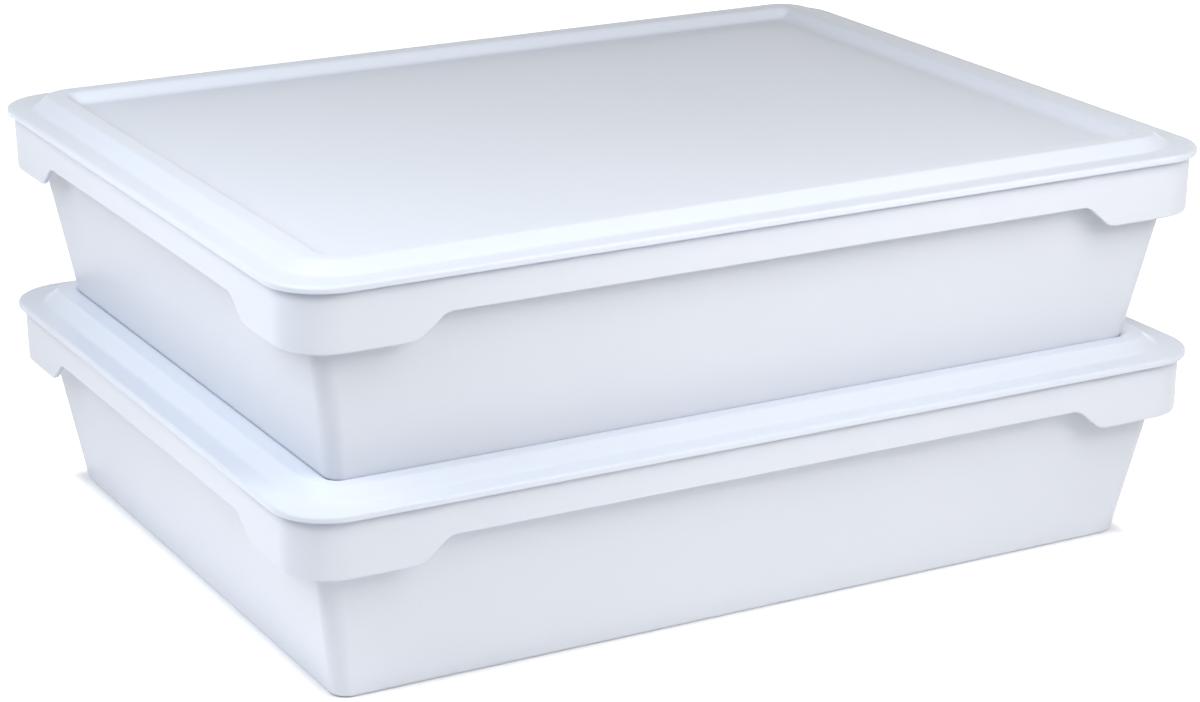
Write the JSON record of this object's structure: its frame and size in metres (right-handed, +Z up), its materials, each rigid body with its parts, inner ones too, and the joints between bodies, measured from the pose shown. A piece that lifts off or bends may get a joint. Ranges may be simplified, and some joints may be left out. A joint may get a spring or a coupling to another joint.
{
  "type": "dough proofing container",
  "caption": "Stacked shallow dough proofing boxes: moulded trays with sloping walls and a deep-cornered skirt, and flat lift-off lids with a raised frame that seats the next tray.",
  "frame": {"origin": "middle of the lower tray's flat foot, on the surface it stands on", "axes": "+X along the long side, +Y towards the back, +Z up through the stack"},
  "size_m": [0.43, 0.3362, 0.1826],
  "materials": {
    "tray_plastic": "satin moulded polypropylene, cool white",
    "lid_plastic": "satin moulded polypropylene, cool white"
  },
  "bodies": {
    "lower_tray": {"lower_tray": "tray_plastic"},
    "lower_lid": {"lower_lid": "lid_plastic"},
    "upper_tray": {"upper_tray": "tray_plastic"},
    "upper_lid": {"upper_lid": "lid_plastic"}
  },
  "joints": [
    {"name": "lower_lid_lift", "type": "slide", "parent": "lower_tray", "child": "lower_lid", "axis": [0, 0, 1], "range_m": [0, 0.08]},
    {"name": "upper_tray_lift", "type": "slide", "parent": "lower_lid", "child": "upper_tray", "axis": [0, 0, 1], "range_m": [0, 0.08]},
    {"name": "upper_lid_lift", "type": "slide", "parent": "upper_tray", "child": "upper_lid", "axis": [0, 0, 1], "range_m": [0, 0.08]}
  ]
}
